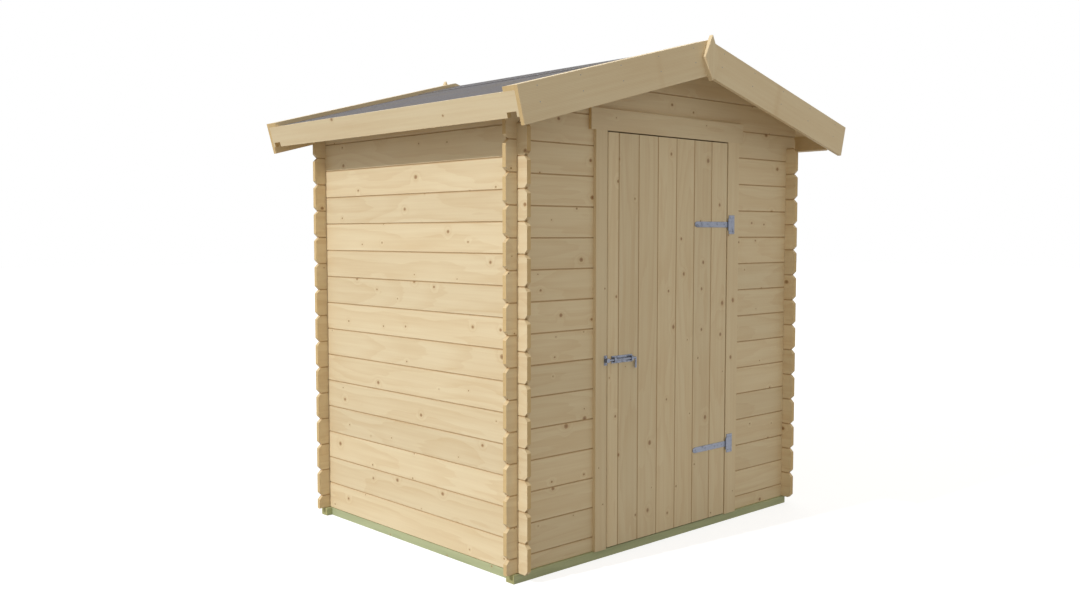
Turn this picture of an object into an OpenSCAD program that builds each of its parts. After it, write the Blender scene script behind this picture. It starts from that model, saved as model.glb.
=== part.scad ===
// Small log cabin with a pitched felt roof and one boarded door, in millimetres.
// +Z is up. The door wall faces -Y. The origin is on the ground under the middle of the roof.

/* [Walls] */
// Height covered by one wall log
log_h = 121; // [100:1:150]
// Thickness of a wall log
log_t = 19; // [16:1:45]
// Outside width of the cabin across the door wall
wall_w = 1755; // [1650:5:2600]
// Outside depth of the cabin along a side wall
wall_d = 1350; // [900:5:2600]
// Full logs in each side wall, counted up to the eaves
side_courses = 14; // [12:1:16]
// Length of log past each corner
log_end = 55; // [40:1:90]
// Corner cut off each log end
end_bevel = 17; // [8:1:24]
// Chamfer along each log edge that makes the joint line
log_edge = 3; // [1:0.5:4]
// Width of the tongue on a log
tongue_t = 6; // [5:0.5:8]
// Height of the tongue on a log
tongue_h = 6; // [4:0.5:10]

/* [Ground beams] */
// Height of a ground beam
beam_h = 34; // [28:1:60]
// Thickness of a ground beam
beam_t = 45; // [35:1:70]
// Distance the ground beams stand proud of the wall
beam_proud = 9; // [0:1:15]
// Length of the cross beams past the left side beam
beam_past = 27; // [0:1:40]

/* [Roof] */
// Slope of the roof in degrees
pitch = 15; // [12:0.5:20]
// Height of the sloped eave log on top of a side wall, at the outer face
eave_log_h = 111; // [90:1:140]
// Overhang past the side walls
eave = 178; // [100:1:260]
// Overhang past the door wall and the back wall
verge = 200; // [120:1:300]
// Thickness of the roof boards
deck_t = 16; // [14:1:22]
// Thickness of the roofing felt
felt_t = 3; // [2:0.5:5]
// Thickness of the fascias, barge boards, finials and roof laths
edge_t = 18; // [14:1:22]
// Width of a fascia board
fascia_w = 92; // [70:1:120]
// Width of a barge board
barge_w = 140; // [110:1:160]
// Width of the lath that holds the felt along each verge
lath_w = 60; // [40:1:80]
// Width of a finial across its corners
finial_w = 93; // [70:1:120]
// Height of a finial over its corners
finial_h = 185; // [140:1:220]
// Drop of a finial's centre below the top of the roof boards
finial_drop = 52.69; // [40:0.01:70]
// Width of the ridge beam
ridge_w = 44; // [34:1:60]
// Height of the ridge beam
ridge_h = 70; // [50:1:90]

/* [Door] */
// Left edge of the doorway from the left end of the door wall
door_x = 470; // [420:1:500]
// Width of the doorway between the trims
door_w = 790; // [640:1:960]
// Height cut out of the lintel log for the doorway and its frame
lintel_cut = 75.5; // [60:0.5:100]
// Gap left around the door leaf
door_gap = 5.5; // [5:0.5:8]
// Thickness of the door boards
door_board_t = 16; // [14:1:22]
// Width covered by one door board
door_board_w = 120.5; // [100:0.5:130]
// Width of the ripped board at the bolt side
door_first_w = 63.5; // [50:0.5:110]
// Thickness of the ledges and the brace behind the door
ledge_t = 20; // [16:1:24]
// Width of the ledges and the brace behind the door
ledge_w = 95; // [80:1:110]
// Thickness of the door trims
trim_t = 15; // [12:1:18]
// Width of the trim at the bolt side
trim_left_w = 64; // [50:1:80]
// Width of the trim at the hinge side
trim_right_w = 81; // [60:1:90]
// Height of the trim over the door
trim_top_h = 86; // [70:1:86]
// Length of the top trim past each side trim
trim_past = 28; // [0:1:35]
// Depth of the door frame from the face of the wall
frame_d = 45; // [38:1:60]
// Thickness of the door frame between the doorway and the log ends
frame_t = 12; // [10:1:16]

/* [Hinges and bolt] */
// Height of the lower hinge above the wall bottom
hinge_low_z = 328; // [200:1:400]
// Drop of the upper hinge below the top of the doorway
hinge_drop = 369; // [200:1:450]
// Length of a hinge strap from its pin
strap_l = 238; // [200:1:300]
// Height of a hinge strap
strap_h = 25; // [20:1:30]
// Thickness of the hinge plates and straps
plate_t = 2.5; // [2:0.5:3]
// Height of the hinge plate on the frame
hinge_plate_h = 84; // [70:1:100]
// Width of the hinge plate on the frame
hinge_plate_w = 40; // [30:1:50]
// Outer radius of the hinge knuckles
knuckle_r = 4.5; // [4:0.5:6]
// Radius of the hinge pins
pin_r = 2.5; // [2:0.5:3]
// Height of the bolt above the wall bottom
bolt_z = 776; // [700:1:900]
// Length of the bolt plate
bolt_plate_l = 124; // [100:1:140]
// Height of the bolt plate
bolt_plate_h = 30; // [25:1:40]
// Radius of the bolt rod
rod_r = 4.5; // [4:0.5:5]
// Drop of the bolt handle below the rod
handle_drop = 42; // [30:1:50]

/* [Hidden] */
$fn = 48;
small = 0.5;
clear = 0.05;
slope = tan(pitch);
course_top = side_courses * log_h;
lintel = side_courses;
door_h = (lintel - 0.5) * log_h + lintel_cut - frame_t;
hinges = [hinge_low_z, door_h - hinge_drop];
roof_base = course_top + eave_log_h;
ridge_under = roof_base + slope * wall_w / 2;
gable_top = ceil(ridge_under / log_h - 0.5);
ridge_top = ridge_under + deck_t / cos(pitch);
barge_rise = felt_t + edge_t;
run = (wall_w / 2 + eave) / cos(pitch) - barge_rise * slope;
verge_in = verge - edge_t;
roof_len = wall_d + 2 * verge_in;
fascia_cut = 20;
fascia_cut_l = 50;
fascia_cut_in = 12;
door_x1 = door_x + door_w;
leaf_x0 = door_x + door_gap;
leaf_x1 = door_x1 - door_gap;
leaf_y = -trim_t;
leaf_h = door_h - 2 * door_gap;
boards = 1 + ceil((leaf_x1 - leaf_x0 - door_first_w) / door_board_w);
ledge_in = 40;
frame_lap = 30;
pin_x = door_x1 + 2;
pin_y = -trim_t - knuckle_r - small;
knuckle_h = 14;
bolt_in = 20.5;
plate_y = -trim_t - plate_t;
rod_y = -trim_t - 5 - rod_r;
guide_w = 10;
guide_h = 20;
rod_x0 = door_x + 1.5;
rod_x1 = leaf_x0 + bolt_in + bolt_plate_l + 14;
keep_w = 16;
keep_h = 40;
keep_hole = 11;

// Moves a piece drawn from the left end of the door wall into the part's frame.
module placed() {
    translate([-wall_w / 2, -wall_d / 2, beam_h]) children();
}

// Outline of a log seen from its end, with its tongue up and its groove down.
module log_outline(h, groove) {
    m = log_t / 2;
    a = tongue_t / 2;
    e = log_edge;
    difference() {
        polygon([
            [e, 0], [log_t - e, 0], [log_t, e], [log_t, h - e], [log_t - e, h],
            [m + a, h], [m + a, h + tongue_h], [m - a, h + tongue_h], [m - a, h],
            [e, h], [0, h - e], [0, e]
        ]);
        if (groove)
            translate([m - a - small, -1]) square([tongue_t + 2 * small, tongue_h + 1 + small]);
    }
}

// Wedge that cuts the lower corner off the start of a log.
module bevel_low() {
    translate([0, log_t + 1, 0]) rotate([90, 0, 0]) linear_extrude(log_t + 2)
        polygon([[-1, end_bevel + 1], [-1, -1], [end_bevel + 1, -1]]);
}

// Wedge that cuts the upper corner and the tongue off the start of a log.
module bevel_high(h) {
    t = tongue_h + 1;
    translate([0, log_t + 1, h]) rotate([90, 0, 0]) linear_extrude(log_t + 2)
        polygon([[-1, -end_bevel - 1], [-1, t], [end_bevel + t, t]]);
}

// Both corner cuts at the start of a log.
module bevels(h, low) {
    if (low) bevel_low();
    bevel_high(h);
}

// Slots at a corner, where a log of the other wall passes.
module crossing(x, h, low, high) {
    w = log_t + 2 * small;
    if (low > 0) translate([x - small, -1, -1]) cube([w, log_t + 2, low + 1]);
    if (high > 0) translate([x - small, -1, h - high]) cube([w, log_t + 2, high + tongue_h + 1]);
}

// A log along +X. Ends marked free pass their corner and are beveled and slotted.
module log_x(x0, x1, h, free0, free1, low, high) {
    difference() {
        translate([x0, 0, 0]) rotate([90, 0, 90]) linear_extrude(x1 - x0) log_outline(h, low > 0);
        if (free0) {
            translate([x0, 0, 0]) bevels(h, low > 0);
            crossing(x0 + log_end, h, low, high);
        }
        if (free1) {
            translate([x1, log_t, 0]) rotate([0, 0, 180]) bevels(h, low > 0);
            crossing(x1 - log_end - log_t, h, low, high);
        }
    }
}

// Side wall log number k, drawn for the left wall.
module side_log(k) {
    translate([log_t, 0, k * log_h]) rotate([0, 0, 90])
        log_x(-log_end, wall_d + log_end, log_h, true, true, log_h / 4, log_h / 4);
}

// Every second side log from number first.
module side_logs(first) {
    for (k = [first : 2 : side_courses - 1]) side_log(k);
}

// Height of the bottom of log j in a door or back wall, where log 0 is a half log.
function cross_z(j) = j == 0 ? 0 : (j - 0.5) * log_h;

// Door wall or back wall log number j between two distances from the wall's left end.
module cross_log(j, x0, x1, free0, free1) {
    h = j == 0 ? log_h / 2 : log_h;
    low = j == 0 || j > lintel ? 0 : log_h / 4;
    high = j < lintel ? log_h / 4 : 0;
    translate([0, 0, cross_z(j)]) log_x(x0, x1, h, free0, free1, low, high);
}

// Full-width log number j.
module full_log(j) {
    cross_log(j, -log_end, wall_w + log_end, true, true);
}

// Gable log number j, cut to the slope of the roof and around the ridge beam.
module gable_log(j) {
    intersection() {
        difference() {
            translate([0, 0, cross_z(j)])
                translate([-log_end, 0, 0]) rotate([90, 0, 90])
                linear_extrude(wall_w + 2 * log_end) log_outline(log_h, true);
            translate([wall_w / 2 - ridge_w / 2, -1, ridge_under - ridge_h])
                cube([ridge_w, log_t + 2, ridge_h + 1]);
        }
        translate([0, log_t + 1, 0]) rotate([90, 0, 0]) linear_extrude(log_t + 2)
            polygon([
                [-log_end, course_top], [wall_w + log_end, course_top],
                [wall_w + log_end, roof_base - slope * log_end], [wall_w / 2, ridge_under],
                [-log_end, roof_base - slope * log_end]
            ]);
    }
}

// Every second gable log from number first.
module gable(first) {
    for (j = [first : 2 : gable_top]) gable_log(j);
}

// Places a piece of the door wall as the same piece of the back wall.
module at_back() {
    translate([0, wall_d - log_t, 0]) children();
}

// Mirrors a piece of the left half of the cabin to the right half.
module to_right() {
    translate([wall_w, 0, 0]) mirror([1, 0, 0]) children();
}

// Turns a piece at the front verge round to the back verge.
module to_back() {
    translate([0, wall_d, 0]) mirror([0, 1, 0]) children();
}

module beam(l, t) {
    cube([l, t, beam_h]);
}

module beams_cross() color("DarkOliveGreen") placed() {
    l = wall_w + beam_past;
    translate([-beam_past, -beam_proud, -beam_h]) beam(l, beam_t);
    translate([-beam_past, wall_d + beam_proud - beam_t, -beam_h]) beam(l, beam_t);
}

module beams_side() color("OliveDrab") placed() {
    l = wall_d + 2 * (beam_proud - beam_t);
    for (x = [0, wall_w - beam_t])
        translate([x, beam_t - beam_proud, -beam_h]) cube([beam_t, l, beam_h]);
}

module left_logs_a() color("BurlyWood") placed() side_logs(0);
module left_logs_b() color("Tan") placed() side_logs(1);
module right_logs_a() color("BurlyWood") placed() to_right() side_logs(0);
module right_logs_b() color("Tan") placed() to_right() side_logs(1);

module back_logs_a() color("BurlyWood") placed() at_back() {
    for (j = [0 : 2 : lintel]) full_log(j);
    gable(lintel + 2);
}

module back_logs_b() color("Tan") placed() at_back() {
    for (j = [1 : 2 : lintel - 1]) full_log(j);
    gable(lintel + 1);
}

// Logs between the left corner and the doorway, every second one from number first.
module door_left(first) {
    for (j = [first : 2 : lintel - 1])
        cross_log(j, -log_end, door_x - frame_t, true, false);
}

// Logs between the doorway and the right corner, every second one from number first.
module door_right(first) {
    for (j = [first : 2 : lintel - 1])
        cross_log(j, door_x1 + frame_t, wall_w + log_end, false, true);
}

module door_left_logs_a() color("BurlyWood") placed() door_left(0);
module door_left_logs_b() color("Tan") placed() door_left(1);
module door_right_logs_a() color("BurlyWood") placed() door_right(0);
module door_right_logs_b() color("Tan") placed() door_right(1);

module lintel_log() color("Wheat") placed() difference() {
    full_log(lintel);
    translate([door_x - frame_t, -1, cross_z(lintel) - 1])
        cube([door_w + 2 * frame_t, log_t + 2, lintel_cut + 1]);
}

module gable_logs_a() color("BurlyWood") placed() gable(lintel + 2);
module gable_logs_b() color("Tan") placed() gable(lintel + 1);

// Top log of a side wall, cut to the slope of the roof between the gables.
module eave_log() {
    m = log_t / 2;
    a = tongue_t / 2 + small;
    e = log_edge;
    translate([0, wall_d - log_t, course_top]) rotate([90, 0, 0])
        linear_extrude(wall_d - 2 * log_t) difference() {
            polygon([
                [e, 0], [log_t - e, 0], [log_t, e],
                [log_t, roof_base - course_top + slope * log_t], [0, roof_base - course_top], [0, e]
            ]);
            translate([m - a, -1]) square([2 * a, tongue_h + 1 + small]);
        }
}

module eave_logs() color("BurlyWood") placed() {
    eave_log();
    to_right() eave_log();
}

// Extrudes an outline in the plane of the door wall over a depth from y0 to y1.
module across(y0, y1) {
    translate([0, y1, 0]) rotate([90, 0, 0]) linear_extrude(y1 - y0) children();
}

// Point on the left slope, s down the slope from the ridge and n above the boards.
function slope_at(s, n) =
    [wall_w / 2 - s * cos(pitch) - n * sin(pitch), ridge_top - s * sin(pitch) + n * cos(pitch)];

// Outline of a sheet on the left slope between two distances from the board tops.
module slope_sheet(s, n0, n1) {
    polygon([
        slope_at(s, n0), slope_at(s, n1),
        [wall_w / 2, ridge_top + n1 / cos(pitch)], [wall_w / 2, ridge_top + n0 / cos(pitch)]
    ]);
}

module ridge_beam() color("Wheat") placed() across(-verge_in, wall_d + verge_in) {
    x = wall_w / 2;
    r = ridge_w / 2;
    polygon([
        [x - r, ridge_under - ridge_h], [x + r, ridge_under - ridge_h],
        [x + r, ridge_under - slope * r], [x, ridge_under], [x - r, ridge_under - slope * r]
    ]);
}

module roof_deck() {
    across(-verge_in, wall_d + verge_in) slope_sheet(run - edge_t, clear - deck_t, -clear);
}

module roof_deck_left() color("Peru") placed() roof_deck();
module roof_deck_right() color("Peru") placed() to_right() roof_deck();

module roof_felt() color("DimGray") placed() across(-verge_in, wall_d + verge_in) {
    s = run - edge_t;
    polygon([
        slope_at(s, 0), slope_at(s, felt_t),
        [wall_w / 2, ridge_top + felt_t / cos(pitch)],
        [wall_w - slope_at(s, felt_t)[0], slope_at(s, felt_t)[1]],
        [wall_w - slope_at(s, 0)[0], slope_at(s, 0)[1]],
        [wall_w / 2, ridge_top]
    ]);
}

// Board square to the left slope along the eave, notched at both lower ends.
module fascia() {
    difference() {
        across(-verge_in, wall_d + verge_in) polygon([
            slope_at(run - edge_t, felt_t), slope_at(run, felt_t),
            slope_at(run, felt_t - fascia_w), slope_at(run - edge_t, felt_t - fascia_w)
        ]);
        for (y = [fascia_cut_in - verge_in, wall_d + verge_in - fascia_cut_in - fascia_cut_l])
            across(y, y + fascia_cut_l) polygon([
                slope_at(run - edge_t - 1, felt_t - fascia_w + fascia_cut),
                slope_at(run + 1, felt_t - fascia_w + fascia_cut),
                slope_at(run + 1, felt_t - fascia_w - 1),
                slope_at(run - edge_t - 1, felt_t - fascia_w - 1)
            ]);
    }
}

module fascias() color("BlanchedAlmond") placed() {
    fascia();
    to_right() fascia();
}

module barge() {
    across(-verge, -verge_in) slope_sheet(run, barge_rise - barge_w, barge_rise);
}

module barges_left() color("BurlyWood") placed() {
    barge();
    to_back() barge();
}

module barges_right() color("BurlyWood") placed() to_right() {
    barge();
    to_back() barge();
}

module lath() {
    across(-verge_in, -verge_in + lath_w) slope_sheet(run, felt_t + clear, barge_rise);
}

module laths_left() color("Wheat") placed() {
    lath();
    to_back() lath();
}

module laths_right() color("Wheat") placed() to_right() {
    lath();
    to_back() lath();
}

module finial() {
    a = finial_w / 2;
    b = finial_h / 2;
    translate([wall_w / 2, 0, ridge_top - finial_drop]) across(-verge - edge_t, -verge)
        polygon([[0, b], [-a, 0], [0, -b], [a, 0]]);
}

module finials() color("Wheat") placed() {
    finial();
    to_back() finial();
}

// Post of the door frame, rebated for the ends of the wall logs.
module jamb() {
    linear_extrude(door_h) polygon([
        [0, 0], [frame_t, 0], [frame_t, frame_d], [frame_t - frame_lap, frame_d],
        [frame_t - frame_lap, log_t], [0, log_t]
    ]);
}

module door_jambs() color("Tan") placed() {
    translate([door_x - frame_t, 0, 0]) jamb();
    translate([door_x1 + frame_t, 0, 0]) mirror([1, 0, 0]) jamb();
}

module door_head() color("Tan") placed()
    translate([door_x - frame_t, 0, door_h]) rotate([90, 0, 90])
        linear_extrude(door_w + 2 * frame_t) polygon([
            [0, 0], [frame_d, 0], [frame_d, frame_lap], [log_t, frame_lap],
            [log_t, frame_t], [0, frame_t]
        ]);

module door_trims() color("BurlyWood") placed() {
    translate([door_x - trim_left_w, -trim_t, 0]) cube([trim_left_w, trim_t, door_h]);
    translate([door_x1, -trim_t, 0]) cube([trim_right_w, trim_t, door_h]);
}

module door_trim_top() color("BurlyWood") placed()
    translate([door_x - trim_left_w - trim_past, -trim_t, door_h])
        cube([trim_left_w + door_w + trim_right_w + 2 * trim_past, trim_t, trim_top_h]);

// Where door board i starts, counted from the bolt side.
function board_x(i) = i == 0 ? leaf_x0 : leaf_x0 + door_first_w + (i - 1) * door_board_w;

// Upright door board i, with its tongue towards the hinges.
module door_board(i) {
    x0 = board_x(i);
    x1 = i == boards - 1 ? leaf_x1 : board_x(i + 1);
    e = log_edge;
    y0 = leaf_y;
    y1 = leaf_y + door_board_t;
    m = leaf_y + door_board_t / 2;
    a = tongue_t / 2 - small;
    g = a + small;
    translate([0, 0, door_gap]) linear_extrude(leaf_h) difference() {
        union() {
            polygon([
                [x0 + e, y0], [x1 - e, y0], [x1, y0 + e], [x1, y1 - e],
                [x1 - e, y1], [x0 + e, y1], [x0, y1 - e], [x0, y0 + e]
            ]);
            if (i < boards - 1) translate([x1 - e, m - a]) square([e + tongue_h, 2 * a]);
        }
        if (i > 0) translate([x0 - 1, m - g]) square([tongue_h + 1 + small, 2 * g]);
    }
}

module door_boards_a() color("Wheat") placed()
    for (i = [0 : 2 : boards - 1]) door_board(i);

module door_boards_b() color("BurlyWood") placed()
    for (i = [1 : 2 : boards - 1]) door_board(i);

module door_ledges() color("Tan") placed()
    for (z = hinges)
        translate([leaf_x0 + ledge_in, leaf_y + door_board_t, z - ledge_w / 2])
            cube([leaf_x1 - leaf_x0 - 2 * ledge_in, ledge_t, ledge_w]);

// Brace from the hinge end of the lower ledge up to the bolt end of the upper ledge.
module door_brace() color("Tan") placed() {
    x0 = leaf_x0 + ledge_in;
    x1 = leaf_x1 - ledge_in;
    z0 = hinges[0] + ledge_w / 2;
    z1 = hinges[1] - ledge_w / 2;
    across(leaf_y + door_board_t, leaf_y + door_board_t + ledge_t)
        polygon([[x1, z0], [x1 - ledge_w, z0], [x0, z1], [x0 + ledge_w, z1]]);
}

// Ring of hinge knuckle about the pin between two heights from the hinge's middle.
module knuckle(z0, z1) {
    translate([pin_x, pin_y, z0]) cylinder(r = knuckle_r, h = z1 - z0);
}

// Bore for the pin.
module pin_bore() {
    translate([pin_x, pin_y, -hinge_plate_h]) cylinder(r = pin_r + clear, h = 2 * hinge_plate_h);
}

module hinge_plate() {
    z0 = strap_h / 2 + small;
    x0 = pin_x + knuckle_r + 1;
    difference() {
        union() {
            translate([x0, plate_y, -hinge_plate_h / 2])
                cube([hinge_plate_w, plate_t, hinge_plate_h]);
            for (z = [z0, -z0 - knuckle_h]) {
                knuckle(z, z + knuckle_h);
                translate([pin_x, plate_y, z]) cube([x0 - pin_x + 1, plate_t, knuckle_h]);
            }
        }
        pin_bore();
    }
}

module hinge_plates() color("Silver") placed()
    for (z = hinges) translate([0, 0, z]) hinge_plate();

// Strap on the door, pointed at its far end.
module hinge_strap() {
    h = strap_h / 2;
    x0 = pin_x - strap_l;
    difference() {
        union() {
            across(plate_y, -trim_t) polygon([
                [pin_x, -h], [pin_x, h], [x0 + h, h], [x0, h / 2], [x0, -h / 2], [x0 + h, -h]
            ]);
            knuckle(-h, h);
        }
        pin_bore();
    }
}

module hinge_straps() color("Gainsboro") placed()
    for (z = hinges) translate([0, 0, z]) hinge_strap();

module hinge_pins() color("DarkGray") placed()
    for (z = hinges)
        translate([pin_x, pin_y, z - strap_h / 2 - knuckle_h - 1])
            cylinder(r = pin_r, h = strap_h + 2 * knuckle_h + 2);

// Block round the rod, wide along the rod, standing on a plate.
module guide(x, w, h, r) {
    y0 = rod_y - rod_r - 2;
    difference() {
        translate([x, y0, -h / 2]) cube([w, plate_y - y0 + 1, h]);
        translate([x - 1, rod_y, 0]) rotate([0, 90, 0]) cylinder(r = r, h = w + 2);
    }
}

module bolt_plate() color("Silver") placed() translate([0, 0, bolt_z]) {
    x0 = leaf_x0 + bolt_in;
    translate([x0, plate_y, -bolt_plate_h / 2]) cube([bolt_plate_l, plate_t, bolt_plate_h]);
    for (x = [x0 + 6, x0 + bolt_plate_l - guide_w - 6])
        guide(x, guide_w, guide_h, rod_r + clear);
}

module bolt_rod() color("Gainsboro") placed() translate([0, rod_y, bolt_z]) {
    translate([rod_x0, 0, 0]) rotate([0, 90, 0]) cylinder(r = rod_r, h = rod_x1 - rod_x0);
    translate([rod_x1, 0, 0]) sphere(r = rod_r);
    translate([rod_x1, 0, -handle_drop]) cylinder(r = rod_r, h = handle_drop);
}

// Staple on the trim that takes the end of the rod.
module bolt_keep() color("Silver") placed() translate([door_x - keep_w, 0, bolt_z]) {
    y0 = rod_y - keep_hole / 2 - plate_t;
    translate([0, plate_y, -keep_h / 2]) cube([keep_w, plate_t, keep_h]);
    difference() {
        translate([0, y0, -keep_hole / 2 - plate_t])
            cube([keep_w, plate_y - y0 + 1, keep_hole + 2 * plate_t]);
        translate([-1, rod_y - keep_hole / 2, -keep_hole / 2])
            cube([keep_w + 2, keep_hole, keep_hole]);
    }
}

beams_cross();
beams_side();
left_logs_a();
left_logs_b();
right_logs_a();
right_logs_b();
back_logs_a();
back_logs_b();
door_left_logs_a();
door_left_logs_b();
door_right_logs_a();
door_right_logs_b();
lintel_log();
gable_logs_a();
gable_logs_b();
eave_logs();
ridge_beam();
roof_deck_left();
roof_deck_right();
roof_felt();
fascias();
barges_left();
barges_right();
laths_left();
laths_right();
finials();
door_jambs();
door_head();
door_trims();
door_trim_top();
door_boards_a();
door_boards_b();
door_ledges();
door_brace();
hinge_plates();
hinge_straps();
hinge_pins();
bolt_plate();
bolt_rod();
bolt_keep();
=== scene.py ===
import math

import bpy
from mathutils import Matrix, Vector


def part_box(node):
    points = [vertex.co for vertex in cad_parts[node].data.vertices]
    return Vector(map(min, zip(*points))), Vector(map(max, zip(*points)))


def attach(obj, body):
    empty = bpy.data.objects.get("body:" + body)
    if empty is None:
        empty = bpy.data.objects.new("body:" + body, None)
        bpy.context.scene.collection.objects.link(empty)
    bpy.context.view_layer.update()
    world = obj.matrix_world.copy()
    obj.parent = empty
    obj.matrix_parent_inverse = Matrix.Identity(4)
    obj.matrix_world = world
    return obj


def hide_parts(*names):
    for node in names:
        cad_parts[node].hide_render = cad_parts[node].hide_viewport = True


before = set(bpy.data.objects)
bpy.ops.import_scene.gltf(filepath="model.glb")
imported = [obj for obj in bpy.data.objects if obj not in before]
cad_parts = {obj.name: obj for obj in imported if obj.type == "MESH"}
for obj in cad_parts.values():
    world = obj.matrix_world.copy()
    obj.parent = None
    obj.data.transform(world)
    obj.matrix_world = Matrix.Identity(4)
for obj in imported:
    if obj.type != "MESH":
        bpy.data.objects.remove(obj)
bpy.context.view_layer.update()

bl_info = {
    "name": "Log Cabin",
    "version": (1, 0, 0),
    "blender": (4, 5, 0),
    "location": "View3D > Sidebar > Log Cabin",
    "description": "Finishes a small spruce log cabin: timber, felt, zinc fixings and stage",
    "category": "Object",
}

X = Vector((1, 0, 0))
Y = Vector((0, 1, 0))
Z = Vector((0, 0, 1))
MM = 0.001
SENSOR = 36.0
WHITE = (1.0, 1.0, 1.0, 1.0)
END_PALE = (0.93, 0.84, 0.66, 1.0)
END_LATE = (0.80, 0.66, 0.44, 1.0)
LIGHT_GRIT = (0.21, 0.19, 0.16, 1.0)
ZINC_STAIN = (0.075, 0.08, 0.10, 1.0)
FLOOR_GREY = (0.40, 0.40, 0.40, 1.0)
SUN_COLOR = (0.97, 1.0, 1.05)
HEAD_CORNERS = 12


# ---------------------------------------------------------------- settings


class LogCabinTimber(bpy.types.PropertyGroup):
    """Sizes and colours of the spruce."""

    log_cover: bpy.props.FloatProperty(
        name="Log cover", description="Height covered by one wall log",
        default=0.121, min=0.1, max=0.15, unit="LENGTH")
    door_board: bpy.props.FloatProperty(
        name="Door board", description="Width covered by one door board",
        default=0.1205, min=0.1, max=0.13, unit="LENGTH")
    first_board: bpy.props.FloatProperty(
        name="First door board", description="Width of the ripped board beside the bolt",
        default=0.0635, min=0.05, max=0.11, unit="LENGTH")
    ring: bpy.props.FloatProperty(
        name="Growth ring", description="Distance between growth rings",
        default=0.0042, min=0.002, max=0.01, unit="LENGTH")
    knot_gap: bpy.props.FloatProperty(
        name="Knot spacing", description="Usual distance between knots",
        default=0.125, min=0.05, max=0.5, unit="LENGTH")
    pale: bpy.props.FloatVectorProperty(
        name="Early wood", description="Colour between the growth rings",
        default=(0.79, 0.65, 0.415), size=3, min=0, max=1, subtype="COLOR")
    late: bpy.props.FloatVectorProperty(
        name="Late wood", description="Colour of the growth rings",
        default=(0.60, 0.40, 0.185), size=3, min=0, max=1, subtype="COLOR")
    knot: bpy.props.FloatVectorProperty(
        name="Knot", description="Colour of a knot",
        default=(0.24, 0.115, 0.045), size=3, min=0, max=1, subtype="COLOR")
    # Painted shade: a warm dark colour standing in for the shade that falls down in the joint
    # grooves between logs and boards.
    seam: bpy.props.FloatVectorProperty(
        name="Seam", description="Colour of the wood down in the joints",
        default=(0.36, 0.19, 0.06), size=3, min=0, max=1, subtype="COLOR")
    treated_pale: bpy.props.FloatVectorProperty(
        name="Treated early wood", description="Colour of the treated ground beams",
        default=(0.50, 0.53, 0.30), size=3, min=0, max=1, subtype="COLOR")
    treated_late: bpy.props.FloatVectorProperty(
        name="Treated late wood", description="Colour of the rings in the treated beams",
        default=(0.26, 0.30, 0.14), size=3, min=0, max=1, subtype="COLOR")


class LogCabinRoof(bpy.types.PropertyGroup):
    """Sizes and colours of the roof."""

    pitch: bpy.props.FloatProperty(
        name="Pitch", description="Slope of the roof",
        default=math.radians(15), min=0.1, max=0.6, unit="ROTATION")
    board_cover: bpy.props.FloatProperty(
        name="Roof board", description="Usual width covered by one roof board",
        default=0.088, min=0.06, max=0.15, unit="LENGTH")
    board_edge: bpy.props.FloatProperty(
        name="Roof board edge", description="Chamfer along the lower edges of a roof board",
        default=0.003, min=0.001, max=0.006, unit="LENGTH")
    ridge_strip: bpy.props.FloatProperty(
        name="Ridge strip", description="Reach of the felt strip down each side of the ridge",
        default=0.25, min=0.1, max=0.5, unit="LENGTH")
    strip_thickness: bpy.props.FloatProperty(
        name="Strip thickness", description="Thickness of the felt strip on the ridge",
        default=0.0025, min=0.001, max=0.004, unit="LENGTH")
    felt: bpy.props.FloatVectorProperty(
        name="Felt", description="Colour of the felt's mineral grit",
        default=(0.105, 0.098, 0.105), size=3, min=0, max=1, subtype="COLOR")
    felt_warm: bpy.props.FloatVectorProperty(
        name="Felt patches", description="Colour of the faint patches in the felt",
        default=(0.125, 0.105, 0.08), size=3, min=0, max=1, subtype="COLOR")


class LogCabinFixings(bpy.types.PropertyGroup):
    """Sizes and colours of the zinc hardware, screws and nails."""

    screw_radius: bpy.props.FloatProperty(
        name="Screw head", description="Radius of a screw head",
        default=0.0036, min=0.002, max=0.006, unit="LENGTH")
    nail_radius: bpy.props.FloatProperty(
        name="Nail head", description="Radius of a nail head",
        default=0.0019, min=0.001, max=0.004, unit="LENGTH")
    clout_radius: bpy.props.FloatProperty(
        name="Clout head", description="Radius of a felt nail's head",
        default=0.0045, min=0.003, max=0.007, unit="LENGTH")
    clout_gap: bpy.props.FloatProperty(
        name="Clout spacing", description="Distance between felt nails",
        default=0.075, min=0.03, max=0.3, unit="LENGTH")
    zinc: bpy.props.FloatVectorProperty(
        name="Zinc", description="Colour of the zinc plating",
        default=(0.25, 0.27, 0.33), size=3, min=0, max=1, subtype="COLOR")


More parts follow.
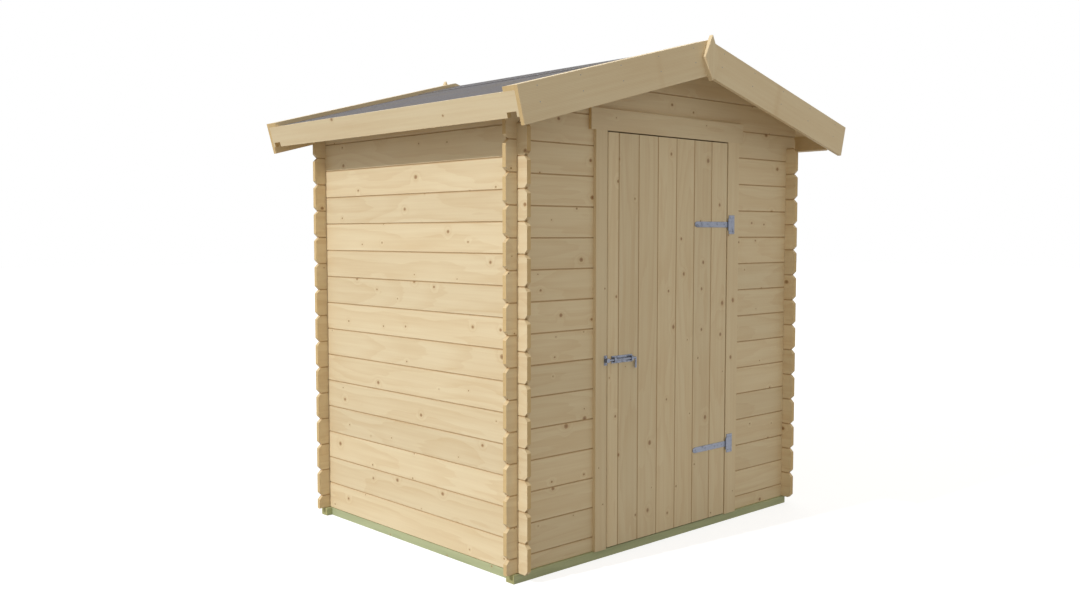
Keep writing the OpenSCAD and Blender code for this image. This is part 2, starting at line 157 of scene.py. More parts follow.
class LogCabinStage(bpy.types.PropertyGroup):
    """Camera, lamps and floor."""

    camera: bpy.props.FloatVectorProperty(
        name="Camera", description="Where the camera stands",
        default=(-3.455, -3.571, 1.315), size=3, subtype="TRANSLATION", unit="LENGTH")
    heading: bpy.props.FloatProperty(
        name="Heading", description="Turn of the camera to the right of the door wall's normal",
        default=math.radians(42.927), unit="ROTATION")
    dip: bpy.props.FloatProperty(
        name="Dip", description="How far the camera looks down",
        default=math.radians(3.783), unit="ROTATION")
    lens: bpy.props.FloatProperty(
        name="Lens", description="Focal length on a 36 mm wide sensor",
        default=34.74, min=10, max=200, unit="CAMERA")
    sun: bpy.props.FloatProperty(
        name="Sun", description="Strength of the sun lamp from the left",
        default=2.05, min=0, max=10)
    sun_height: bpy.props.FloatProperty(
        name="Sun height", description="Height of the sun lamp over the horizon",
        default=math.radians(36.5), unit="ROTATION")
    sun_back: bpy.props.FloatProperty(
        name="Sun turn", description="Turn of the sun lamp towards the back of the cabin",
        default=math.radians(7.0), unit="ROTATION")
    sky: bpy.props.FloatProperty(
        name="Sky", description="Strength of the even light all round",
        default=0.58, min=0, max=5)
    sky_tint: bpy.props.FloatVectorProperty(
        name="Sky tint", description="Colour of the even light",
        default=(1.0, 0.955, 0.87), size=3, min=0, max=1, subtype="COLOR")
    floor_glow: bpy.props.FloatProperty(
        name="Floor glow", description="Light that only the camera sees on the floor",
        default=0.78, min=0, max=1)


def settings(name):
    """One of the cabin's groups of settings, kept on the scene."""
    return getattr(bpy.context.scene, name)


# ---------------------------------------------------------------- materials


class Signal:
    """A value in a material. Python's operators on it add Math nodes."""

    def __init__(self, graph, socket):
        self.graph = graph
        self.socket = socket

    def math(self, operation, *others):
        return self.graph.math(operation, self, *others)

    def __add__(self, other):
        return self.math("ADD", other)

    def __sub__(self, other):
        return self.math("SUBTRACT", other)

    def __mul__(self, other):
        return self.math("MULTIPLY", other)

    def __truediv__(self, other):
        return self.math("DIVIDE", other)

    def __gt__(self, other):
        return self.math("GREATER_THAN", other)

    def __rsub__(self, other):
        return self.graph.math("SUBTRACT", other, self)

    def __neg__(self):
        return self * -1

    def __abs__(self):
        return self.math("ABSOLUTE")

    __radd__ = __add__

    def floor(self):
        return self.math("FLOOR")

    def fraction(self):
        return self.math("FRACT")

    def root(self):
        return self.math("SQRT")

    def bell(self):
        """1 where the value is 0, falling away smoothly on both sides."""
        return (-(self * self)).math("EXPONENT")

    def rise(self, low, high):
        """0 up to low and 1 from high, with a smooth step between."""
        return self.graph.add(
            "ShaderNodeMapRange", {"interpolation_type": "SMOOTHSTEP"},
            {"Value": self, "From Min": low, "From Max": high})


class Graph:
    """The nodes of one material."""

    def __init__(self, name):
        self.material = bpy.data.materials.new(name)
        self.material.use_nodes = True
        self.tree = self.material.node_tree
        self.surface = self.tree.nodes["Principled BSDF"]

    def fill(self, socket, value):
        if isinstance(value, Signal):
            self.tree.links.new(value.socket, socket)
        else:
            socket.default_value = value

    def add(self, kind, options=None, sockets=(), output=0):
        """A node of any kind: its options first, then its sockets' values or links."""
        node = self.tree.nodes.new(kind)
        for key, value in (options or {}).items():
            setattr(node, key, value)
        pairs = sockets.items() if isinstance(sockets, dict) else enumerate(sockets)
        for key, value in pairs:
            self.fill(node.inputs[key], value)
        return Signal(self, node.outputs[output])

    def math(self, operation, *values):
        return self.add("ShaderNodeMath", {"operation": operation}, values)

    def place(self):
        return self.add("ShaderNodeTexCoord", output="Object")

    def facing(self):
        return self.add("ShaderNodeTexCoord", output="Normal")

    def along(self, vector, axis):
        return self.add(
            "ShaderNodeVectorMath", {"operation": "DOT_PRODUCT"}, [vector, tuple(axis)], "Value")

    def point(self, *parts):
        return self.add("ShaderNodeCombineXYZ", None, parts)

    def parts(self, vector):
        node = self.add("ShaderNodeSeparateXYZ", None, [vector]).socket.node
        return [Signal(self, output) for output in node.outputs]

    def stretch(self, vector, *sizes):
        return self.point(*[part * size for part, size in zip(self.parts(vector), sizes)])

    def noise(self, vector, scale=1.0, detail=2.0, roughness=0.5):
        return self.add(
            "ShaderNodeTexNoise", None,
            {"Vector": vector, "Scale": scale, "Detail": detail, "Roughness": roughness})

    def dice(self, seed):
        """Three random numbers from 0 to 1 for each value of the seed."""
        return self.parts(self.add(
            "ShaderNodeTexWhiteNoise", {"noise_dimensions": "1D"}, {"W": seed}, "Color"))

    def cells(self, vector, scale=1.0, dimensions="2D"):
        """Distance to the nearest of some scattered points, and that point's random numbers."""
        distance = self.add(
            "ShaderNodeTexVoronoi", {"voronoi_dimensions": dimensions},
            {"Vector": vector, "Scale": scale})
        color = Signal(self, distance.socket.node.outputs["Color"])
        return distance, self.parts(color)

    def mix(self, share, first, second, blend="MIX"):
        """A mixed colour, where the share goes from the first colour to the second."""
        return self.add(
            "ShaderNodeMix", {"data_type": "RGBA", "blend_type": blend, "clamp_factor": True},
            {0: share, 6: first, 7: second}, 2)

    def shade(self, color, light):
        """A colour made darker or lighter by a value."""
        grey = self.add("ShaderNodeCombineColor", None, [light, light, light])
        return self.mix(1.0, color, grey, "MULTIPLY")

    def bump(self, height, distance, strength=1.0):
        return self.add(
            "ShaderNodeBump", None,
            {"Strength": strength, "Distance": distance, "Height": height})

    def finish(self, **sockets):
        """Fills the surface's sockets, such as base_color, and gives the material."""
        for name, value in sockets.items():
            self.fill(self.surface.inputs[name.replace("_", " ").title()], value)
        return self.material


def rgba(color):
    return (*color, 1.0)


def timber(name, grain, across, cover=0.0, start=0.0, split=None, seed=0.0, treated=False):
    """Sawn softwood with its grain along one direction, as boards beside each other.

    cover is the width of one board across the grain, and start where the first board begins.
    Pieces of one node on either side of the middle along split are different boards.
    """
    look = settings("cabin_timber")
    g = Graph(name)
    place = g.place()
    u = g.along(place, grain)
    v = g.along(place, across) - start
    w = g.along(place, grain.cross(across))
    identity = g.math("ADD", seed, 0.5)
    if split is not None:
        identity = identity + (g.along(place, split) > 0.0) * 23.1
    if cover:
        number = (v / cover).floor()
        identity = identity + number * 1.7
        v = v - (number + 0.5) * cover
    luck, chance, tone = g.dice(identity)

    # Knots, scattered over the face, a different set in each board.
    gap = look.knot_gap
    distance, (kept, size, tint) = g.cells(
        g.point(u / (gap * 1.2) + luck * 57.0, v / gap + chance * 91.0, 0.0))
    distance = distance * gap + (g.noise(place, 160.0, 2.0) - 0.5) * 0.003
    present = kept > 0.5
    reach = size * size * 0.0080 + 0.0026
    swirl = (distance / (reach * 2.6)).bell() * present
    knot = (1.0 - (distance / reach).rise(0.72, 1.12)) * present
    heart = (1.0 - (distance / reach).rise(0.1, 0.75)) * present
    halo = (1.0 - (distance / reach).rise(0.9, 2.6)) * present

    # Growth rings about a heart that lies outside the board and wanders along it.
    drift = g.noise(g.point(u * 0.9, identity * 3.1, 0.0), 1.0, 1.0) - 0.5
    rise = v + (luck - 0.5) * 0.11 + drift * 0.07
    depth = w * 0.9 + chance * 0.05 + 0.018 + drift * 0.03
    radius = (rise * rise + depth * depth).root()
    waver = g.noise(g.point(u * 3.0, v * 22.0, w * 22.0), 1.0, 2.0)
    phase = ((radius + swirl * 0.007) / look.ring + waver * 1.4).fraction()
    ring = phase.rise(0.3, 0.93) * (1.0 - phase.rise(0.94, 1.0))

    # Fibres and long soft streaks.
    fibre = g.noise(g.point(u * 9.0, v * 620.0, w * 620.0), 1.0, 3.0, 0.6)
    streak = g.noise(g.point(u * 1.6 + luck * 9.0, v * 62.0, w * 62.0), 1.0, 3.0, 0.55)
    cloud = g.noise(g.point(u * 2.2 + chance * 7.0, v * 9.0, w * 9.0), 1.0, 2.0)

    pale = rgba(look.treated_pale if treated else look.pale)
    late = rgba(look.treated_late if treated else look.late)
    share = ring * 0.20 + (streak - 0.46) * 0.6 + (fibre - 0.5) * 0.22 + (cloud - 0.5) * 0.35
    color = g.mix(share + 0.10, pale, late)
    color = g.mix(halo * 0.22, color, rgba(look.late))
    color = g.mix(knot * (tint * 0.35 + 0.55), color, rgba(look.late))
    color = g.mix(knot * 0.45 + heart * 0.45, color, rgba(look.knot))
    if cover:
        # Painted shade: darker towards each board's edges, where shade falls in the joint grooves.
        seam = abs(v).rise(cover / 2 - 4.2 * MM, cover / 2 - 1.2 * MM)
        color = g.mix(seam * 0.6, color, rgba(look.seam))
    color = g.shade(color, tone * 0.10 + 0.94)

    # Sawn ends are darker, warmer and more open.
    end = abs(g.along(g.facing(), grain)).rise(0.55, 0.9)
    pores = g.noise(place, 900.0, 2.0)
    dark_end = g.shade(g.mix(ring * 0.5, END_PALE, END_LATE), pores * 0.3 + 0.82)
    color = g.mix(end, color, g.mix(1.0, color, dark_end, "MULTIPLY"))

    height = ring * 0.35 + fibre * 0.8 + streak * 0.3 - knot * 0.25 + end * pores
    return g.finish(
        base_color=color,
        roughness=0.66 - ring * 0.08 - knot * 0.14 + end * 0.14,
        normal=g.bump(height, 0.00035, 0.7))


def felt_grit(name):
    """Bitumen felt with pressed mineral grit, and faint uneven patches."""
    look = settings("cabin_roof")
    g = Graph(name)
    place = g.place()
    distance, (bright, _, warm) = g.cells(place, 620.0, "3D")
    patch = g.noise(place, 3.2, 3.0, 0.55)
    streak = g.noise(g.stretch(place, 6.0, 1.2, 6.0))
    color = g.mix(patch.rise(0.45, 0.72) * 0.75, rgba(look.felt), rgba(look.felt_warm))
    color = g.mix((warm > 0.9) * 0.35, color, LIGHT_GRIT)
    color = g.shade(color, bright * 0.5 + streak * 0.35 + 0.6)
    height = (1.0 - distance) * 0.7 + patch * 0.6
    return g.finish(
        base_color=color,
        roughness=0.9 - bright * 0.12,
        normal=g.bump(height, 0.0008, 0.8))


def zinc_plate(name):
    """Zinc-plated steel with a fine frosting, duller where it has been handled."""
    look = settings("cabin_fixings")
    g = Graph(name)
    place = g.place()
    distance, (facet, _, _) = g.cells(place, 260.0, "3D")
    smear = g.noise(place, 38.0, 4.0, 0.6)
    brush = g.noise(g.stretch(place, 60.0, 700.0, 700.0))
    stain = smear.rise(0.52, 0.74)
    color = g.shade(rgba(look.zinc), facet * 0.14 + brush * 0.16 + 0.84)
    color = g.mix(stain * 0.45, color, ZINC_STAIN)
    g.surface.inputs["Metallic"].default_value = 0.85
    return g.finish(
        base_color=color,
        roughness=0.34 + stain * 0.22 + brush * 0.12,
        normal=g.bump(brush * 0.4 + distance * 0.2, 0.0002, 0.5))


def plating():
    """The one zinc finish that the hinges, the bolt, the screws and the nails share."""
    return bpy.data.materials.get("zinc plating") or zinc_plate("zinc plating")


def dress(nodes, material):
    """Gives CAD nodes their material."""
    for name in nodes:
        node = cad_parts[name]
        for place in node.material_slots:
            place.material = material


# ---------------------------------------------------------------- repeated pieces


def link(name, mesh):
    piece = bpy.data.objects.new(name, mesh)
    bpy.context.scene.collection.objects.link(piece)
    return piece


def mesh_of(name, points, faces):
    mesh = bpy.data.meshes.new(name)
    mesh.from_pydata([tuple(p) for p in points], [], faces)
    mesh.validate()
    mesh.update()
    return mesh


def prism(name, first, last):
    """A closed bar between two outlines. Both run as the first does, counterclockwise
    when it is seen from outside."""
    n = len(first)
    sides = [(i, n + i, n + (i + 1) % n, (i + 1) % n) for i in range(n)]
    faces = [tuple(range(n)), tuple(reversed(range(n, 2 * n))), *sides]
    return mesh_of(name, [*first, *last], faces)


def tree_with(name, inputs):
    """An empty geometry tree with named inputs, and what its nodes need."""
    tree = bpy.data.node_groups.new(name, "GeometryNodeTree")
    tree.interface.new_socket("Geometry", in_out="INPUT", socket_type="NodeSocketGeometry")
    for label, kind in inputs:
        tree.interface.new_socket(label, in_out="INPUT", socket_type=kind)
    tree.interface.new_socket("Geometry", in_out="OUTPUT", socket_type="NodeSocketGeometry")
    start = tree.nodes.new("NodeGroupInput")
    end = tree.nodes.new("NodeGroupOutput")

    def add(kind, links, **options):
        node = tree.nodes.new(kind)
        for key, value in options.items():
            setattr(node, key, value)
        for key, source in links.items():
            if isinstance(source, bpy.types.NodeSocket):
                tree.links.new(source, node.inputs[key])
            else:
                node.inputs[key].default_value = source
        return node

    def close(geometry):
        """Real geometry with the material on it."""
        real = add("GeometryNodeRealizeInstances", {"Geometry": geometry})
        painted = add(
            "GeometryNodeSetMaterial",
            {"Geometry": real.outputs["Geometry"], "Material": start.outputs["Material"]})
        tree.links.new(painted.outputs["Geometry"], end.inputs["Geometry"])

    return tree, start, add, close


def scatter_tree():
    """Puts a copy of a head on every point, each turned by its own amount about an axis."""
    tree, start, add, close = tree_with("Heads on points", [
        ("Head", "NodeSocketObject"), ("Axis", "NodeSocketVector"),
        ("Turn", "NodeSocketFloat"), ("Seed", "NodeSocketInt"), ("Material", "NodeSocketMaterial")])
    head = add("GeometryNodeObjectInfo", {"Object": start.outputs["Head"]})
    turn = add(
        "FunctionNodeRandomValue", {3: start.outputs["Turn"], "Seed": start.outputs["Seed"]},
        data_type="FLOAT")
    spin = add(
        "FunctionNodeAxisAngleToRotation",
        {"Axis": start.outputs["Axis"], "Angle": turn.outputs[1]})
    copies = add("GeometryNodeInstanceOnPoints", {
        "Points": start.outputs["Geometry"],
        "Instance": head.outputs["Geometry"],
        "Rotation": spin.outputs["Rotation"]})
    close(copies.outputs["Instances"])
    return tree


def row_tree():
    """Lays copies of one board side by side."""
    tree, start, add, close = tree_with("Boards in a row", [
        ("Board", "NodeSocketObject"), ("Count", "NodeSocketInt"),
        ("Step", "NodeSocketVector"), ("Material", "NodeSocketMaterial")])
    board = add("GeometryNodeObjectInfo", {"Object": start.outputs["Board"]})
    line = add("GeometryNodeMeshLine", {
        "Count": start.outputs["Count"], "Offset": start.outputs["Step"]})
    copies = add("GeometryNodeInstanceOnPoints", {
        "Points": line.outputs["Mesh"], "Instance": board.outputs["Geometry"]})
    close(copies.outputs["Instances"])
    return tree


def grow(name, base, tree, inputs):
    """Runs a geometry tree on a base mesh and keeps the result as a plain mesh."""
    piece = link(name, base)
    modifier = piece.modifiers.new(tree.name, "NODES")
    modifier.node_group = tree
    sockets = {item.name: item.identifier for item in tree.interface.items_tree}
    for label, value in inputs.items():
        modifier[sockets[label]] = value
    bpy.context.view_layer.update()
    seen = piece.evaluated_get(bpy.context.evaluated_depsgraph_get())
    result = bpy.data.meshes.new_from_object(seen)
    result.name = name
    piece.modifiers.clear()
    piece.data = result
    return piece


def head_frame(axis):
    """Two directions across an axis that make a right-handed set with it."""
    side = Z.cross(axis) if abs(axis.z) < 0.9 else Y.cross(axis)
    side.normalize()
    return side, axis.cross(side)


def lathe(name, axis, rings):
    """A closed head from rings of HEAD_CORNERS points, each ring (points, height)."""
    side, up = head_frame(axis)
    points = []
    for outline, height in rings:
        points += [side * a + up * b + axis * height for a, b in outline]
    n = HEAD_CORNERS
    faces = [tuple(reversed(range(n)))]
    for k in range(len(rings) - 1):
        faces += [
            (k * n + i, k * n + (i + 1) % n, (k + 1) * n + (i + 1) % n, (k + 1) * n + i)
            for i in range(n)]
    faces.append(tuple(range((len(rings) - 1) * n, len(rings) * n)))
    return mesh_of(name, points, faces)


def circle(radius):
    step = 360 / HEAD_CORNERS
    angles = [math.radians(step * i - step / 2) for i in range(HEAD_CORNERS)]
    return [(radius * math.cos(a), radius * math.sin(a)) for a in angles]


def cross(length, width):
    """A cross, whose three corners on each of four arms make HEAD_CORNERS."""
    arm = [(length, -width), (length, width), (width, width)]
    quarter = [arm]
    for _ in range(3):
        quarter.append([(-b, a) for a, b in quarter[-1]])
    return [point for part in quarter for point in part]


def screw_head(axis, radius):
    """A low domed head with a cross recess."""
    height = radius * 0.42
    recess = cross(radius * 0.46, radius * 0.13)
    return lathe("screw_head", axis, [
        (circle(radius), -height * 0.3), (circle(radius), height * 0.35),
        (circle(radius * 0.84), height * 0.78), (circle(radius * 0.62), height),
        (recess, height), (recess, height * 0.1)])


def nail_head(axis, radius):
    """A flat round head with a softened rim."""
    height = radius * 0.28
    return lathe("nail_head", axis, [
        (circle(radius), -height), (circle(radius), height * 0.5),
        (circle(radius * 0.8), height), (circle(radius * 0.4), height * 1.15)])


def fix(name, points, head, axis, material, body, seed=0):
    """Puts screws or nails on points of one body, all facing along an axis."""
    template = link(name + "_head", head)
    base = mesh_of(name + "_points", points, [])
    tree = bpy.data.node_groups.get("Heads on points") or scatter_tree()
    piece = grow(name, base, tree, {
        "Head": template, "Axis": tuple(axis), "Turn": math.pi, "Seed": seed,
        "Material": material})
    bpy.data.objects.remove(template)
    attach(piece, body)
    return piece


def even(low, high, count):
    """Evenly spaced values from low to high."""
    return [low + (high - low) * i / (count - 1) for i in range(count)]


# ---------------------------------------------------------------- walls


class LOGCABIN_OT_walls(bpy.types.Operator):
    """Give every wall log its own grain, knots and end grain."""

    bl_idname = "logcabin.walls"
    bl_label = "Log Walls"

    def execute(self, context):
        cover = settings("cabin_timber").log_cover
        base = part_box("left_logs_a")[0].z
        half = base - cover / 2
        dress(["left_logs_a", "left_logs_b", "right_logs_a", "right_logs_b", "eave_logs"],
              timber("side wall logs", Y, Z, cover, base, X, 11.0))
        dress(["back_logs_a", "back_logs_b", "lintel_log", "gable_logs_a", "gable_logs_b"],
              timber("full width logs", X, Z, cover, half, Y, 37.0))
        dress(["door_left_logs_a", "door_left_logs_b"],
              timber("logs left of the door", X, Z, cover, half, None, 61.0))
        dress(["door_right_logs_a", "door_right_logs_b"],
              timber("logs right of the door", X, Z, cover, half, None, 83.0))
        return {"FINISHED"}


class LOGCABIN_OT_beams(bpy.types.Operator):
    """Give the ground beams their green treated timber."""

    bl_idname = "logcabin.beams"
    bl_label = "Ground Beams"

    def execute(self, context):
        dress(["beams_cross"],
              timber("treated cross beams", X, Z, split=Y, seed=5.0, treated=True))
        dress(["beams_side"],
              timber("treated side beams", Y, Z, split=X, seed=7.0, treated=True))
        return {"FINISHED"}


# ---------------------------------------------------------------- roof


def slope(side):
    """Direction down one roof slope, and the slope's outward normal. side is -1 or 1."""
    pitch = settings("cabin_roof").pitch
    down = Vector((side * math.cos(pitch), 0, -math.sin(pitch)))
    out = Vector((side * math.sin(pitch), 0, math.cos(pitch)))
    return down, out


class LOGCABIN_OT_roof_boards(bpy.types.Operator):
    """Lay the roof boards from ridge to eave, each with chamfered lower edges."""

    bl_idname = "logcabin.roof_boards"
    bl_label = "Roof Boards"

    def execute(self, context):
        look = settings("cabin_roof")
        edge = look.board_edge
        for node, side in (("roof_deck_left", -1), ("roof_deck_right", 1)):
            low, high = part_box(node)
            down, out = slope(side)
            length = high.y - low.y
            count = round(length / look.board_cover)
            cover = length / count
            eave_x = low.x if side < 0 else high.x
            fall = abs(eave_x) * math.tan(look.pitch)
            eave = Vector((eave_x, 0, high.z - fall))
            ridge = Vector((0, 0, high.z))
            thickness = (eave.z - low.z) / math.cos(look.pitch)
            gap = 0.2 * MM
            outline = [
                (gap, 0), (cover - gap, 0), (cover - gap, edge - thickness),
                (cover - edge, -thickness), (edge, -thickness), (gap, edge - thickness)]
            top = [ridge + Y * (low.y + y) + Z * (n / math.cos(look.pitch)) for y, n in outline]
            foot = [eave + Y * (low.y + y) + out * n for y, n in outline]
            # The outline is counterclockwise at the foot on the left, and at the top on the right.
            ends = (foot, top) if side < 0 else (top, foot)
            board = link(node + "_board", prism(node + "_board", *ends))
            tree = bpy.data.node_groups.get("Boards in a row") or row_tree()
            wood = timber("roof boards " + ("left" if side < 0 else "right"),
                          down, Y, cover, low.y, None, 131.0 + side)
            boards = grow(node + "_boards", mesh_of(node, [], []), tree, {
                "Board": board, "Count": count, "Step": (0, cover, 0), "Material": wood})
            bpy.data.objects.remove(board)
            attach(boards, "cabin")
            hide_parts(node)
        dress(["ridge_beam"], timber("ridge beam", Y, Z, seed=19.0))
        return {"FINISHED"}


class LOGCABIN_OT_felt(bpy.types.Operator):
    """Cover the roof with grit felt, a strip over the ridge and rows of clout nails."""

    bl_idname = "logcabin.felt"
    bl_label = "Roof Felt"

    def execute(self, context):
        look = settings("cabin_roof")
        fixings = settings("cabin_fixings")
        grit = felt_grit("felt")
        dress(["roof_felt"], grit)
        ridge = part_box("roof_felt")[1].z
        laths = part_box("laths_left")
        drop = look.ridge_strip * math.sin(look.pitch)
        run = look.ridge_strip * math.cos(look.pitch)
        rise = look.strip_thickness / math.cos(look.pitch)
        outline = [
            (-run, -drop), (0, 0), (run, -drop),
            (run, rise - drop), (0, rise), (-run, rise - drop)]
        lath_width = 60 * MM
        first = laths[0].y + lath_width
        last = laths[1].y - lath_width
        ends = [[Vector((x, y, ridge + z)) for x, z in outline] for y in (first, last)]
        strip = link("ridge_felt_strip", prism("ridge_felt_strip", *ends))
        strip.data.materials.append(grit)
        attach(strip, "cabin")
        count = round((last - first) / fixings.clout_gap)
        inset = 30 * MM
        rows = even(first + inset, last - inset, count)
        reach = look.ridge_strip - 25 * MM
        for side, name in ((-1, "left"), (1, "right")):
            down, out = slope(side)
            top = Vector((0, 0, ridge + rise))
            edge = [top + down * reach + Y * y for y in rows]
            fix("felt_nails_" + name, edge, nail_head(out, fixings.clout_radius), out,
                plating(), "cabin", 3)
        return {"FINISHED"}


class LOGCABIN_OT_trims(bpy.types.Operator):
    """Finish the fascias, barge boards, laths and finials, and nail them on."""

    bl_idname = "logcabin.trims"
    bl_label = "Roof Trims"

    def execute(self, context):
        left = slope(-1)[0]
        right = slope(1)[0]
        dress(["fascias"], timber("fascias", Y, Z, split=X, seed=41.0))
        dress(["barges_left"], timber("left barge boards", left, Y, split=Y, seed=43.0))
        dress(["barges_right"], timber("right barge boards", right, Y, split=Y, seed=47.0))
        dress(["laths_left"], timber("left laths", left, Y, split=Y, seed=53.0))
        dress(["laths_right"], timber("right laths", right, Y, split=Y, seed=59.0))
        dress(["finials"], timber("finials", Z, X, split=Y, seed=67.0))
        radius = settings("cabin_fixings").nail_radius
        edge = 18 * MM
        self.nail_barges(radius, edge)
        self.nail_fascias(radius, edge)
        return {"FINISHED"}

    def nail_barges(self, radius, edge):
        """Two rows of nails along each barge board, the upper one at a distance from its edge."""
        low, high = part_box("barges_left")
        row_gap = 58 * MM
        steps = even(110 * MM, 1000 * MM, 5)
        for axis, y, name in ((-Y, low.y, "front"), (Y, high.y, "back")):
            points = []
            for side in (-1, 1):
                down, out = slope(side)
                top = Vector((0, y, high.z)) - out * edge
                points += [top + down * s for s in steps]
                points += [top + down * s - out * row_gap for s in steps]
            fix("barge_nails_" + name, points, nail_head(axis, radius), axis,
                plating(), "cabin", 5)

    def nail_fascias(self, radius, edge):
        """Pairs of nails along each fascia, the upper ones at a distance from its edge."""
        low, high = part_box("fascias")
        row_gap = 40 * MM
        inset = 80 * MM
        rows = even(low.y + inset, high.y - inset, 7)
        for side, x, name in ((-1, low.x, "left"), (1, high.x, "right")):
            down, out = slope(side)
            top = Vector((x, 0, high.z)) - out * edge
            points = [top + Y * y - out * d for y in rows for d in (0, row_gap)]
            fix("fascia_nails_" + name, points, nail_head(down, radius), down,
                plating(), "cabin", 7)


# ---------------------------------------------------------------- door


class LOGCABIN_OT_door(bpy.types.Operator):
    """Finish the door frame, the boarded leaf, its ledges and its brace."""

    bl_idname = "logcabin.door"
    bl_label = "Door"

    def execute(self, context):
        look = settings("cabin_timber")
        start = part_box("door_boards_a")[0].x + look.first_board - look.door_board
        dress(["door_jambs"], timber("door jambs", Z, Y, split=X, seed=71.0))
        dress(["door_head"], timber("door head", X, Y, seed=73.0))
        dress(["door_trims"], timber("door side trims", Z, X, split=X, seed=79.0))
        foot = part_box("door_trim_top")[0].z
        dress(["door_trim_top"], timber("door top trim", X, Z, start=foot, seed=89.0))
        dress(["door_boards_a", "door_boards_b"],
              timber("door boards", Z, X, look.door_board, start, None, 97.0))
        low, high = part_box("door_ledges")
        middle = (low.z + high.z) / 2
        dress(["door_ledges"],
              timber("door ledges", X, Z, high.z - middle, middle, None, 101.0))
        low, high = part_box("door_brace")
        brace_width = 95 * MM
        lean = Vector((low.x + brace_width - high.x, 0, high.z - low.z)).normalized()
        dress(["door_brace"], timber("door brace", lean, lean.cross(Y), seed=103.0))
        return {"FINISHED"}


class LOGCABIN_OT_hardware(bpy.types.Operator):
    """Plate the hinges and the bolt with zinc, and put in their screws."""

    bl_idname = "logcabin.hardware"
    bl_label = "Hinges and Bolt"

    def execute(self, context):
        dress(["hinge_plates", "hinge_pins", "hinge_straps", "bolt_plate", "bolt_rod", "bolt_keep"],
              plating())
        screw = settings("cabin_fixings").screw_radius
        plate_thickness = 2.5 * MM
        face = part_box("door_trims")[0].y - plate_thickness
        self.screw_hinges(screw, face)
        self.screw_bolt(screw, face)
        self.screw_ledges(screw)
        return {"FINISHED"}

    def screw_hinges(self, screw, face):
        """Four screws in each hinge plate and four along each strap."""
        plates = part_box("hinge_plates")
        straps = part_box("hinge_straps")
        half_plate = 42 * MM
        heights = (plates[0].z + half_plate, plates[1].z - half_plate)
        middle = plates[1].x - 20 * MM
        fix("hinge_plate_screws",
            [Vector((middle + dx * MM, face, z + dz * MM))
             for z in heights for dz in (30, -30) for dx in (-9, 9)],
            screw_head(-Y, screw), -Y, plating(), "cabin", 11)
        fix("hinge_strap_screws",
            [Vector((straps[0].x + dx * MM, face, z)) for z in heights for dx in (18, 88, 158, 208)],
            screw_head(-Y, screw), -Y, plating(), "door", 13)

    def screw_bolt(self, screw, face):
        """Four screws in the bolt's plate and two in its keep."""
        low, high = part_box("bolt_plate")
        middle = (low.z + high.z) / 2
        fix("bolt_screws",
            [Vector((low.x + dx * MM, face, middle + dz * MM))
             for dx in (30, 94) for dz in (-10.4, 10.4)],
            screw_head(-Y, 0.9 * screw), -Y, plating(), "door", 17)
        low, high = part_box("bolt_keep")
        middle = (low.x + high.x) / 2
        inset = 5.5 * MM
        fix("keep_screws", [Vector((middle, face, z)) for z in (low.z + inset, high.z - inset)],
            screw_head(-Y, 0.85 * screw), -Y, plating(), "cabin", 19)

    def screw_ledges(self, screw):
        """Two rows of screws through each ledge, from inside."""
        low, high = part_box("door_ledges")
        near = 25 * MM
        far = 70 * MM
        inset = 40 * MM
        rows = (low.z + near, low.z + far, high.z - near, high.z - far)
        columns = even(low.x + inset, high.x - inset, 7)
        fix("ledge_screws", [Vector((x, high.y, z)) for x in columns for z in rows],
            screw_head(Y, screw), Y, plating(), "door", 23)


# ---------------------------------------------------------------- stage


def lamp(name, energy, color, direction, softness):
    """A distant lamp that shines along a direction."""
    data = bpy.data.lights.new(name, "SUN")
    data.energy = energy
    data.color = color
    data.angle = softness
    sun = bpy.data.objects.new(name, data)
    sun.rotation_euler = direction.to_track_quat("-Z", "Y").to_euler()
    bpy.context.scene.collection.objects.link(sun)


def seen_directly(tree):
    """1 for rays from the camera, reflections and glass, 0 for light that falls on things."""
    path = tree.nodes.new("ShaderNodeLightPath")
    total = path.outputs["Is Camera Ray"]
    for name in ("Is Glossy Ray", "Is Transmission Ray"):
        step = tree.nodes.new("ShaderNodeMath")
        step.operation = "MAXIMUM"
        tree.links.new(total, step.inputs[0])
        tree.links.new(path.outputs[name], step.inputs[1])
        total = step.outputs[0]
    return total


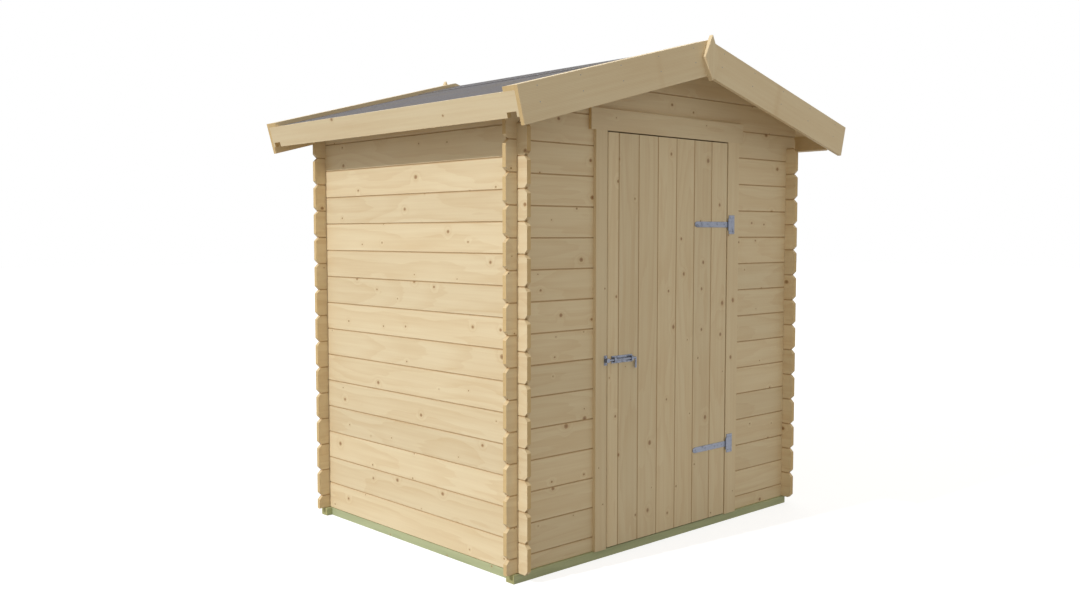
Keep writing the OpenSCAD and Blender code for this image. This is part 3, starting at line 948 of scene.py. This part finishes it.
class LOGCABIN_OT_stage(bpy.types.Operator):
    """Set up the pale floor, the light and the camera."""

    bl_idname = "logcabin.stage"
    bl_label = "Stage"

    def execute(self, context):
        look = settings("cabin_stage")
        self.floor(look)
        self.world(look)
        back = look.sun_back
        rise = look.sun_height
        sunbeam = Vector((
            math.cos(back) * math.cos(rise), -math.sin(back) * math.cos(rise), -math.sin(rise)))
        lamp("sun", look.sun, SUN_COLOR, sunbeam, math.radians(1.2))
        lamp("back fill", 0.35, WHITE[:3], Vector((-0.55, -0.6, -0.45)), math.radians(40))
        data = bpy.data.cameras.new("camera")
        data.sensor_width = SENSOR
        data.lens = look.lens
        camera = bpy.data.objects.new("camera", data)
        camera.location = look.camera
        camera.rotation_euler = (math.pi / 2 - look.dip, 0.0, -look.heading)
        context.scene.collection.objects.link(camera)
        context.scene.camera = camera
        context.scene.view_settings.view_transform = "Standard"
        return {"FINISHED"}

    def floor(self, look):
        """A wide floor that looks white to the camera but lights the cabin as a grey one."""
        reach = 40.0
        corners = [(-reach, -reach, 0), (reach, -reach, 0), (reach, reach, 0), (-reach, reach, 0)]
        floor = link("floor", mesh_of("floor", corners, [(0, 1, 2, 3)]))
        g = Graph("floor")
        g.fill(g.surface.inputs["Base Color"], FLOOR_GREY)
        g.fill(g.surface.inputs["Roughness"], 1.0)
        g.fill(g.surface.inputs["Specular IOR Level"], 0.0)
        glow = g.tree.nodes.new("ShaderNodeEmission")
        glow.inputs["Color"].default_value = WHITE
        strength = Signal(g, seen_directly(g.tree)) * look.floor_glow
        g.fill(glow.inputs["Strength"], strength)
        total = g.tree.nodes.new("ShaderNodeAddShader")
        g.tree.links.new(g.surface.outputs[0], total.inputs[0])
        g.tree.links.new(glow.outputs[0], total.inputs[1])
        g.tree.links.new(total.outputs[0], g.tree.nodes["Material Output"].inputs["Surface"])
        floor.data.materials.append(g.material)

    def world(self, look):
        """Even tinted light, which looks plain white to the camera."""
        world = bpy.data.worlds.new("sky")
        world.use_nodes = True
        tree = world.node_tree
        background = tree.nodes["Background"]
        seen = seen_directly(tree)
        tint = tree.nodes.new("ShaderNodeMix")
        tint.data_type = "RGBA"
        tint.inputs[6].default_value = rgba(look.sky_tint)
        tint.inputs[7].default_value = WHITE
        tree.links.new(seen, tint.inputs[0])
        tree.links.new(tint.outputs[2], background.inputs["Color"])
        strength = tree.nodes.new("ShaderNodeMapRange")
        strength.inputs["To Min"].default_value = look.sky
        strength.inputs["To Max"].default_value = 1.0
        tree.links.new(seen, strength.inputs["Value"])
        tree.links.new(strength.outputs["Result"], background.inputs["Strength"])
        bpy.context.scene.world = world


# ---------------------------------------------------------------- panel and registration

GROUPS = {
    "cabin_timber": LogCabinTimber,
    "cabin_roof": LogCabinRoof,
    "cabin_fixings": LogCabinFixings,
    "cabin_stage": LogCabinStage,
}
OPERATORS = (
    LOGCABIN_OT_walls, LOGCABIN_OT_beams, LOGCABIN_OT_roof_boards, LOGCABIN_OT_felt,
    LOGCABIN_OT_trims, LOGCABIN_OT_door, LOGCABIN_OT_hardware, LOGCABIN_OT_stage,
)


class LOGCABIN_PT_panel(bpy.types.Panel):
    """Sizes, colours and steps of the log cabin."""

    bl_idname = "LOGCABIN_PT_panel"
    bl_label = "Log Cabin"
    bl_space_type = "VIEW_3D"
    bl_region_type = "UI"
    bl_category = "Log Cabin"

    def draw(self, context):
        layout = self.layout
        for name, group in GROUPS.items():
            box = layout.box()
            for prop in group.__annotations__:
                box.prop(getattr(context.scene, name), prop)
        for operator in OPERATORS:
            layout.operator(operator.bl_idname)


def register():
    for name, group in GROUPS.items():
        bpy.utils.register_class(group)
        setattr(bpy.types.Scene, name, bpy.props.PointerProperty(type=group))
    for item in (*OPERATORS, LOGCABIN_PT_panel):
        bpy.utils.register_class(item)


def unregister():
    for item in reversed((*OPERATORS, LOGCABIN_PT_panel)):
        bpy.utils.unregister_class(item)
    for name, group in reversed(GROUPS.items()):
        delattr(bpy.types.Scene, name)
        bpy.utils.unregister_class(group)


def main():
    register()
    bpy.ops.logcabin.walls()
    bpy.ops.logcabin.beams()
    bpy.ops.logcabin.roof_boards()
    bpy.ops.logcabin.felt()
    bpy.ops.logcabin.trims()
    bpy.ops.logcabin.door()
    bpy.ops.logcabin.hardware()
    bpy.ops.logcabin.stage()


if __name__ == "__main__":
    main()
